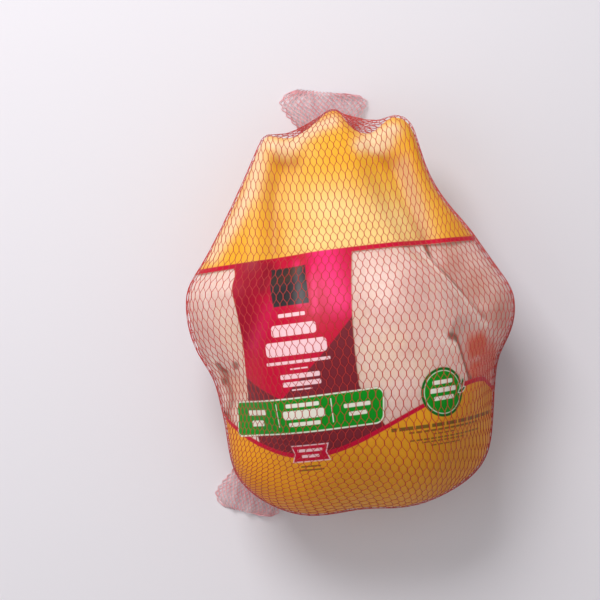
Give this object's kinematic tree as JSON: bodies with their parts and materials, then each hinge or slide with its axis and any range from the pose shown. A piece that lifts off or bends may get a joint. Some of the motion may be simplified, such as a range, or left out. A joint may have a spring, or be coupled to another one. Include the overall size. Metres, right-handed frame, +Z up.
{
  "type": "whole raw chicken in a printed shrink bag and net",
  "caption": "Whole raw chicken on its back in a printed shrink bag, closed in a red tube net whose bunched ends lie as flat tails.",
  "frame": {"origin": "middle of the underside, on the surface that the bird lies on, under the middle of the whole with its net tails", "axes": "+Z up through the breast, +Y towards the ends of the legs, -Y towards the neck, +X to the right as seen from above with the legs away"},
  "size_m": [0.2058, 0.2774, 0.1294],
  "materials": {
    "printed_film": "gloss",
    "net": "satin"
  },
  "bodies": {
    "root": {"bagged_chicken": "printed_film", "net_tail_leg_end": "net", "net_tail_neck_end": "net"}
  },
  "joints": []
}
